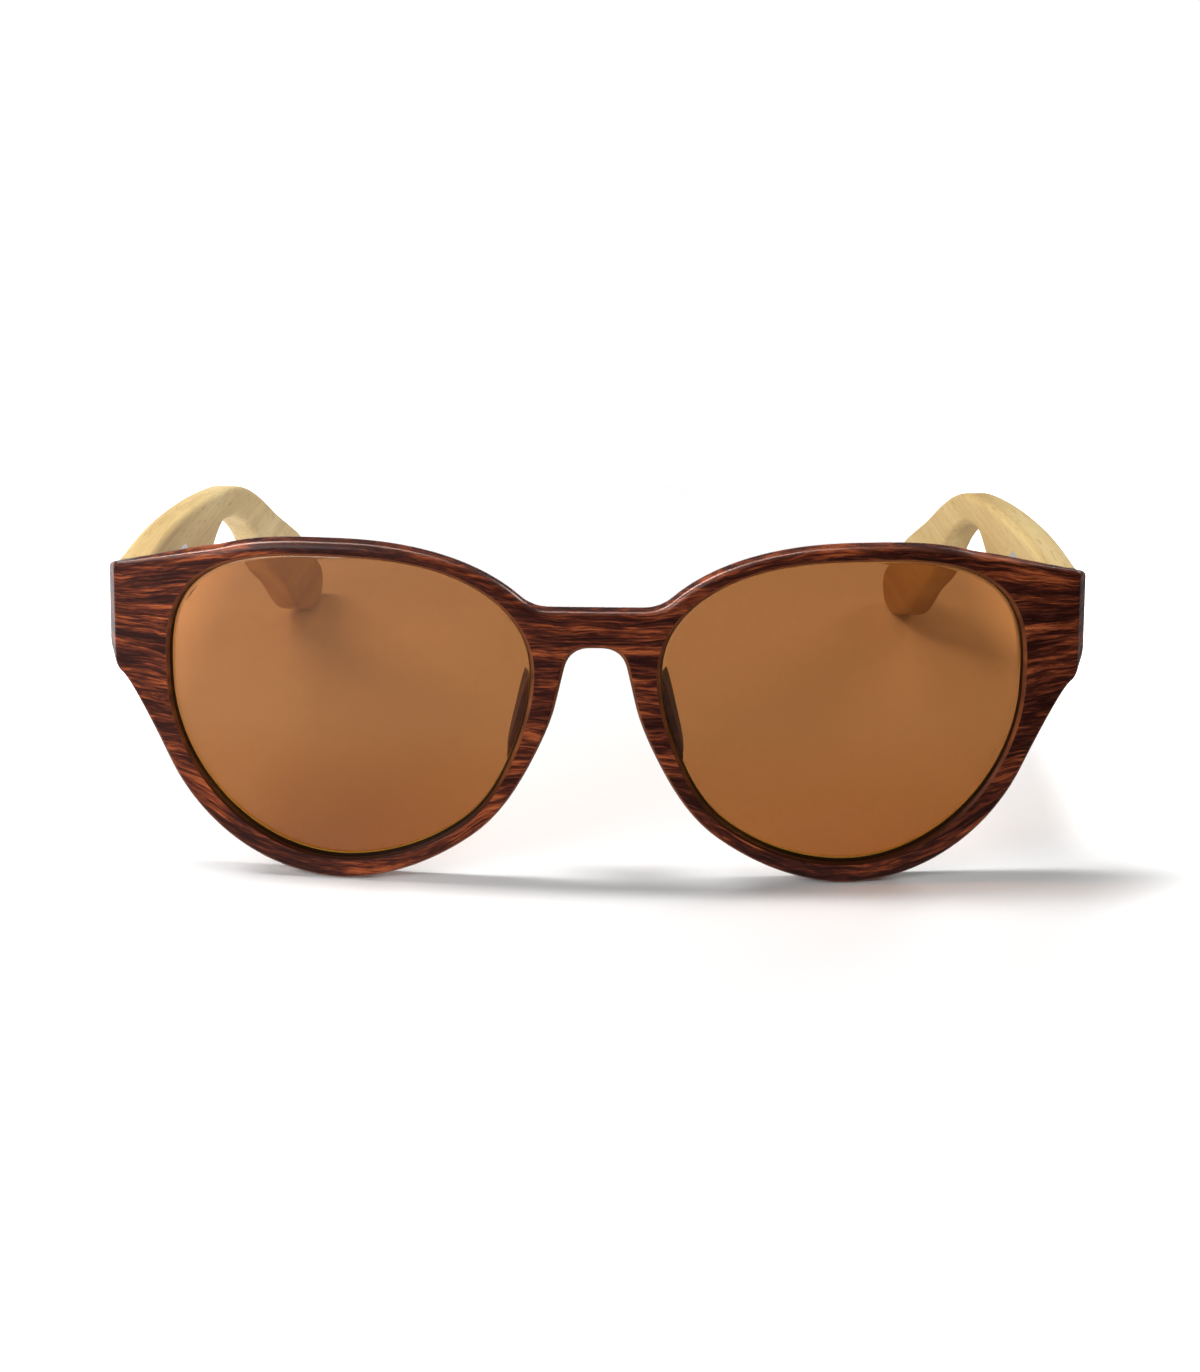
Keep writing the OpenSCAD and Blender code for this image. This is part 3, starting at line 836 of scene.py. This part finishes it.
def pad_section(v):
    """A pad's section at v, from -1 at its low end to 1 at its top, measured from its root."""
    edge = PAD_EDGE / 2
    tip_y = PAD_OUT - edge
    tip_x = tip_y * tan(radians(PAD_SPLAY))
    root_lean, tip_lean = radians(PAD_LEAN + 2), radians(PAD_LEAN)
    root_run, tip_run = v * (PAD_LEN / 2 - 1), v * PAD_LEN / 2
    foot = Vector((-root_run * sin(root_lean), root_run * cos(root_lean)))
    head = Vector((tip_x - tip_run * sin(tip_lean), tip_run * cos(tip_lean)))
    share = max(1 - abs(v) ** 4.5, 0.0) ** (1 / 2.2)
    reach = -PAD_SINK + (tip_y + PAD_SINK) * share
    half_root = RIM_NOSE * 0.28 * (0.55 + 0.45 * share)
    half_tip = edge * (0.35 + 0.65 * share)

    def centre(y):
        return foot.lerp(head, clamp(y / tip_y))

    def half(y):
        u = clamp((y + PAD_SINK) / (reach + PAD_SINK)) if reach > 0.02 - PAD_SINK else 0.0
        wider = 0.4 * exp(-max(y, 0) / 0.6) * share
        return half_root * (1 - u) + half_tip * u + wider

    heights = [-PAD_SINK + (reach + PAD_SINK) * k / 11 for k in range(12)]
    section = [(centre(y)[0] - half(y), y, centre(y)[1]) for y in heights]
    c = centre(reach)
    for k in range(1, 12):
        a = pi - pi * k / 12
        section.append((c[0] + half(reach) * cos(a), reach + half_tip * sin(a), c[1]))
    return section + [(centre(y)[0] + half(y), y, centre(y)[1]) for y in reversed(heights)]


def build_pad(build, side):
    """A pad on the rim's nose side: a splayed wedge with a round edge and ends, and a wide foot."""
    root_x = (lens_edge(PAD_AT, 0)[0] + rim_edge(PAD_AT, 0)[0]) / 2 + 0.6
    root_y = wrap_y(root_x) + FRONT_T
    steps = 40
    rings = []
    for i in range(steps + 1):
        ring = []
        for x, y, z in pad_section(-cos(pi * i / steps)):
            ring.append(build.add(placed((side * (root_x + x), root_y + y, PAD_Z + z))))
        rings.append(ring)
    for a, b in zip(rings, rings[1:]):
        build.band(a, b, PADS)
    build.face(rings[0], PADS)
    build.face(rings[-1], PADS)


# The lenses

# Shares of a lens at which its faces have a ring of points
FRONT_SHARES = (0.04, 0.12, 0.24, 0.36, 0.48, 0.6, 0.7, 0.8, 0.88, 0.94, 0.98, 1.0)
BACK_SHARES = (1.0, 0.97, 0.93, 0.86, 0.78, 0.68, 0.58, 0.46, 0.34, 0.22, 0.12, 0.04)


def build_lens(side):
    build = Build()

    def ring(grow, depth, share=1.0):
        """A ring at a share of the lens's size. Those of the front face lie further in low down."""
        points = []
        for k in range(TURNS):
            t = k * 360 / TURNS
            p = lens_edge(t, grow if grow > 0 else grow - 0.20 * clamp(-sin(radians(t))) ** 2)
            x = APEX_X + (p[0] - APEX_X) * share
            z = LENS_MID_Z + (p[1] - LENS_MID_Z) * share
            points.append(build.add(placed((side * x, wrap_y(x) + depth, z))))
        return points

    front = [ring(-0.21, LENS_DEPTH, share) for share in FRONT_SHARES]
    back = [ring(LENS_BITE, LENS_BACK, share) for share in BACK_SHARES]
    edge = [ring(LENS_BITE, LENS_DEPTH + 0.45), ring(LENS_BITE, LENS_BACK - 0.2)]
    rows = front + edge + back
    # The band from the front face out to the edge takes the edge's painted highlight
    for k, (a, b) in enumerate(zip(rows, rows[1:])):
        build.band(a, b, 1 if k == len(front) - 1 else 0)
    for row, depth in ((rows[0], LENS_DEPTH), (rows[-1], LENS_BACK)):
        middle = build.add(placed((side * APEX_X, wrap_y(APEX_X) + depth, LENS_MID_Z)))
        for k in range(TURNS):
            build.face([row[k], row[(k + 1) % TURNS], middle])
    return build


# The temples

def curve_point(a, b, c, d, u):
    """The point at share u of the stretch from b to c, on a smooth curve through all four."""
    return 0.5 * (2 * b + (c - a) * u + (2 * a - 5 * b + 4 * c - d) * u * u
                  + (3 * b - 3 * c + d - a) * u * u * u)


def curve(points, steps):
    """A smooth open curve through the points, with this many steps from one to the next."""
    last = len(points) - 1
    made = []
    for i in range(last):
        a, b = points[max(i - 1, 0)], points[i]
        c, d = points[i + 1], points[min(i + 2, last)]
        for k in range(steps):
            made.append(curve_point(a, b, c, d, k / steps))
    made.append(points[last])
    return made


def temple_profile():
    """The temple's side view, from the joint over its top to the tip, and back along the bottom."""
    top = ENDPIECE_TOP - 0.1
    low = top - TEMPLE_H
    slim_top = top - 4
    slim_low = slim_top - TEMPLE_SLIM
    tip_low = TIP_H * 0.42
    bend = TEMPLE_REACH - SLIM_AT
    upper = [(JOINT_GAP, top - 0.5), (SLIM_AT * 0.3, top - 0.1), (SLIM_AT * 0.65, top - 1.4),
             (SLIM_AT, slim_top), (SLIM_AT + bend * 0.15, slim_top - 2.7),
             (SLIM_AT + bend * 0.3, slim_top - 7.4), (SLIM_AT + bend * 0.5, slim_top - TIP_H * 1.29),
             (SLIM_AT + bend * 0.72, slim_top - TIP_H * 1.99),
             (SLIM_AT + bend * 0.9, TIP_H * 0.92), (TEMPLE_REACH - 1.6, TIP_H * 0.58)]
    tip = [(TEMPLE_REACH, TIP_H * 0.32), (TEMPLE_REACH - 2, TIP_H * 0.07),
           (TEMPLE_REACH - 6.5, 0.0), (TEMPLE_REACH - 12, TIP_H * 0.07)]
    lower = [(SLIM_AT + bend * 0.7, tip_low), (SLIM_AT + bend * 0.55, tip_low + 8),
             (SLIM_AT + bend * 0.4, tip_low + 14.9), (SLIM_AT + bend * 0.25, slim_low - 8.2),
             (SLIM_AT + bend * 0.11, slim_low - 2.2), (SLIM_AT, slim_low),
             (SLIM_AT - 6, slim_low + 0.4), (SLIM_AT - 14, low + 2.4), (SLIM_AT - 20, low + 0.1),
             (SLIM_AT - 28, low - 0.4), (SLIM_AT * 0.2, low - 0.1), (JOINT_GAP, low)]
    points = curve([Vector(p) for p in upper + tip + lower], 10)
    return [Vector((p[0], max(p[1], 0.0))) for p in points]


def build_temple(side):
    build = Build()
    profile = temple_profile()
    last = len(profile) - 1
    inward = []
    for i in range(last + 1):
        d = (profile[min(i + 1, last)] - profile[max(i - 1, 0)]).normalized()
        inward.append(Vector((d[1], -d[0])))
    inward[0] = Vector((0, -1))
    inward[-1] = Vector((0, 1))
    r = TEMPLE_ROUND
    levels = [(r * (1 - sin(a)), r * (1 - cos(a))) for a in QUARTER]
    levels += [(0.0, r + (TEMPLE_T - 2 * r) * k / 4) for k in range(1, 4)]
    levels += [(r * (1 - cos(a)), TEMPLE_T - r * (1 - sin(a))) for a in QUARTER]
    rings = []
    for s, t in levels:
        ring = []
        for p, n in zip(profile, inward):
            y, z = p + n * s
            ring.append((build.add(hinge_point(side, BARREL_TO_TEMPLE + t, y, z)), y, z))
        rings.append(ring)
    for a, b in zip(rings, rings[1:]):
        build.band([v for v, _, _ in a], [v for v, _, _ in b], closed=False)
    end = [ring[0][0] for ring in rings] + [ring[-1][0] for ring in reversed(rings)]
    build.face(end, 1, flat=True)

    # The pocket that the hinge's plate lies in
    half = HOUSING_H / 2 + PLATE_EDGE + POCKET_ROOM
    y0 = HOUSING_FRONT - POCKET_ROOM
    y1 = HOUSING_FRONT + HOUSING_L + TAIL_L + POCKET_ROOM - half
    pocket = [Vector((y0, HINGE_Z - half)), Vector((y0, HINGE_Z + half))]
    for k in range(25):
        a = radians(90 - 180 * k / 24)
        pocket.append(Vector((y1 + half * cos(a), HINGE_Z + half * sin(a))))
    deep = BARREL_TO_TEMPLE + PLATE_T + POCKET_ROOM
    rim = []
    floor_ring = []
    for y, z in pocket:
        rim.append((build.add(hinge_point(side, BARREL_TO_TEMPLE, y, z)), y, z))
        floor_ring.append(build.add(hinge_point(side, deep, y, z)))
    build.band([v for v, _, _ in rim], floor_ring, 1, flat=True)
    build.face(floor_ring, 1, flat=True)

    def inner(y, z):
        return hinge_point(side, BARREL_TO_TEMPLE, y, z)

    def outer(y, z):
        return hinge_point(side, BARREL_TO_TEMPLE + TEMPLE_T, y, z)

    fill(build, [rings[0], rim], inner, 2.4)
    fill(build, [rings[-1]], outer, 2.4)
    return build


def weighted(piece):
    """Keeps flat faces flat in the shading of their round edges."""
    modifier = piece.modifiers.new("normals", "WEIGHTED_NORMAL")
    modifier.keep_sharp = True
    modifier.weight = 50


rosewood = rosewood_material("rosewood_grain", False)
rosewood_polished = rosewood_material("rosewood_polished", True)
rosewood_edge = edge_material("rosewood_edge", False)
# The ring round the openings, with painted shade low down
rosewood_ring = edge_material("rosewood_ring", True)
# Near black, for the openings' walls and rear edges: painted shade of the recess
rosewood_wall_painted_shade = dull_material(
    "rosewood_wall_painted_shade", (120, 120, 300), (2.0, 0.5),
    [(0.3, (0.004, 0.0016, 0.0013)), (0.7, (0.010, 0.0036, 0.0026))], 0.12, 0.4, 0.12)
rosewood_pads = dull_material(
    "rosewood_pads", (150, 200, 500), (3.0, 0.55),
    [(0.3, (0.055, 0.0240, 0.0160)), (0.55, (0.090, 0.0380, 0.0240)),
     (0.75, (0.135, 0.0550, 0.0320))], 0.2, 0.36, 0.15)

front_build = build_front()
for side in (1, -1):
    build_pad(front_build, side)
front = front_build.finish("front_moulding", [
    rosewood, rosewood_edge, rosewood_wall_painted_shade, rosewood_pads, rosewood_ring, rosewood_polished])
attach(front, "front")
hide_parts("front_frame")
weighted(front)

lens_glass = lens_material()
# The lenses' edges get a painted highlight
lens_edge_highlight = lens_edge_highlight_material()
for side, word in ((1, "left"), (-1, "right")):
    lens = build_lens(side).finish("tinted_lens_" + word, [lens_glass, lens_edge_highlight])
    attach(lens, "front")
    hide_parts("lens_" + word)
    bamboo = bamboo_material(side)
    temple = build_temple(side).finish("bamboo_temple_" + word, [bamboo, bamboo])
    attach(temple, word + "_temple")
    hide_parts("temple_" + word)
    weighted(temple)

nickel = metal_material("nickel_satin", ((0.66, 0.64, 0.60), (0.74, 0.72, 0.68)), (0.22, 0.36),
                        (500, 3500, 3500))
steel = metal_material("steel_brushed", ((0.50, 0.50, 0.52), (0.62, 0.62, 0.63)), (0.26, 0.42),
                       (2500, 2500, 600))
METALS = {"front_hinge": nickel, "hinge_slider": nickel, "hinge_housing": nickel,
          "hinge_screw": steel, "slider_collar": steel, "lock_bush": steel, "hinge_spring": steel,
          "housing_screws": steel}
for base, material in METALS.items():
    for word in ("left", "right"):
        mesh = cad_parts[base + "_" + word].data
        mesh.materials.clear()
        mesh.materials.append(material)


# Floor, light and camera

def floor_material():
    """A white table. The camera sees it lit by the lamps, and other rays meet a plain one. What
    shines in the plastic is an image of its own, brighter on the wearer's right and behind."""
    material, tree, shader = node_tree("table_white")
    tree.nodes.remove(shader)
    rays = add_node(tree, "ShaderNodeLightPath").outputs
    seen = math_node(tree, "MAXIMUM", rays["Is Camera Ray"], rays["Is Transmission Ray"])
    glossy = math_node(tree, "SUBTRACT", rays["Is Glossy Ray"], rays["Is Transmission Ray"])
    place = object_place(tree)
    x, y, _ = split_place(tree, place)

    across = remap(tree, x, -0.14, 0.14)
    before = ramp(tree, across, [(0.0, 0.8), (0.5, 0.2), (1.0, 0.03)])
    beyond = ramp(tree, across, [(0.2, 1.0), (0.9, 0.15)])
    image = mix_colour(tree, faded(tree, y, -0.12, -0.06), before, beyond)
    mirrored = add_node(tree, "ShaderNodeEmission")
    link(tree, image, mirrored.inputs["Color"])

    white = ramp(tree, noise(tree, place, (6, 6, 6)), [(0.3, 0.93), (0.7, 0.95)])
    shown = add_node(tree, "ShaderNodeBsdfDiffuse")
    link(tree, white, shown.inputs["Color"])
    plain = add_node(tree, "ShaderNodeBsdfDiffuse")
    settings(plain, {"Color": (0.78, 0.78, 0.78, 1.0)})

    # A glow, seen by the camera and through the lenses, keeps the table white away from the front.
    # Beside the front and behind its line it is painted light that washes out the temples' shadows
    # there, and behind the front it lifts the table a little.
    far = add_node(tree, "ShaderNodeVectorMath", operation="LENGTH")
    link(tree, scaled(tree, place, (1.75, 0.9, 1)), far.inputs[0])
    around = faded(tree, far.outputs["Value"], 0.14, 0.20)
    # Painted light: beside the front and behind its line, the glow washes out the temples' cast
    # shadows
    shadow_wash_beside = faded(tree, math_node(tree, "ABSOLUTE", x), 0.070, 0.090)
    shadow_wash_beside = math_node(tree, "MULTIPLY", shadow_wash_beside, faded(tree, y, -0.068, -0.048))
    strength = math_node(tree, "MAXIMUM", around, shadow_wash_beside)
    strength = math_node(tree, "MAXIMUM", strength, faded(tree, y, -0.065, -0.02, 0.05))
    glow = add_node(tree, "ShaderNodeEmission")
    link(tree, strength, glow.inputs["Strength"])
    both = add_node(tree, "ShaderNodeAddShader")
    link(tree, shown.outputs[0], both.inputs[0])
    link(tree, glow.outputs[0], both.inputs[1])

    surface = mix_shader(tree, seen, plain.outputs[0], both.outputs[0])
    shine = math_node(tree, "MAXIMUM", glossy, 0.0)
    surface = mix_shader(tree, shine, surface, mirrored.outputs[0])
    link(tree, surface, tree.nodes["Material Output"].inputs["Surface"])
    return material


TABLE_HALF = 3.0
table_build = Build()
for x, y in ((-1, -1), (1, -1), (1, 1), (-1, 1)):
    table_build.add(Vector((x, y, 0)) * TABLE_HALF)
table_build.face([0, 1, 2, 3])
table = table_build.finish("table", [floor_material()])

# The world is white where it is seen, and gives a faint light from all round
world = bpy.data.worlds.new("studio")
bpy.context.scene.world = world
world.use_nodes = True
sky = world.node_tree
rays = add_node(sky, "ShaderNodeLightPath").outputs
seen = math_node(sky, "MAXIMUM", rays["Is Camera Ray"], rays["Is Transmission Ray"])
shine = math_node(sky, "MULTIPLY", rays["Is Glossy Ray"], 0.06)
strength = remap(sky, math_node(sky, "MAXIMUM", seen, shine), 0.0, 1.0, 0.088, 1.0)
background = sky.nodes["Background"]
link(sky, strength, background.inputs["Strength"])
settings(background, {"Color": (1, 1, 1, 1)})


def area_light(name, place, target, width, height, power):
    lamp = bpy.data.lights.new(name, "AREA")
    lamp.shape = "RECTANGLE"
    lamp.size = width
    lamp.size_y = height
    lamp.energy = power
    thing = bpy.data.objects.new(name, lamp)
    thing.location = place
    thing.rotation_euler = (Vector(target) - Vector(place)).to_track_quat("-Z", "Y").to_euler()
    bpy.context.scene.collection.objects.link(thing)


area_light("strip", (-0.28, -0.03, 0.60), (-0.28, -0.06, 0), 0.80, 0.06, 2.2)
area_light("key", (-0.38, 0.0, 0.55), (0, -0.04, 0.0), 0.08, 0.32, 1.85)
area_light("side_fill", (-0.20, -0.28, 0.14), (-0.03, -0.07, 0.03), 0.22, 0.18, 0.70)
area_light("back_fill", (0.36, 0.34, 0.26), (-0.05, 0.0, 0.04), 0.25, 0.20, 1.05)

# The photograph's camera: its angles in degrees, and its distance in metres from the point it
# looks at, which is in millimetres
AZIMUTH, ELEVATION, ROLL = 0.4, 19.02, 0.45
DISTANCE = 0.400
LOOKS_AT = (0.66, 0.0, 31.13)

# In pixels of the photograph: its focal length and width, the row of that point and the middle row
FOCAL, PHOTO_W = 2742.0, 1200.0
POINT_ROW, MIDDLE_ROW = 690.0, 686.0
SENSOR = 36.0

a, e, r = radians(AZIMUTH), radians(ELEVATION), radians(ROLL)
back = Vector((sin(a) * cos(e), -cos(a) * cos(e), sin(e)))
across = Vector((cos(a), sin(a), 0.0))
upward = back.cross(across)
right = across * cos(r) + upward * sin(r)
up = upward * cos(r) - across * sin(r)
camera_data = bpy.data.cameras.new("camera")
camera_data.sensor_fit = "HORIZONTAL"
camera_data.sensor_width = SENSOR
camera_data.lens = FOCAL * SENSOR / PHOTO_W
camera_data.shift_y = (POINT_ROW - MIDDLE_ROW) / PHOTO_W
camera_data.clip_start = 0.01
camera = bpy.data.objects.new("camera", camera_data)
turn = Matrix((right, up, back)).transposed().to_4x4()
camera.matrix_world = Matrix.Translation(placed(LOOKS_AT) + back * DISTANCE) @ turn
bpy.context.scene.collection.objects.link(camera)
bpy.context.scene.camera = camera

bpy.context.scene.view_settings.view_transform = "Standard"
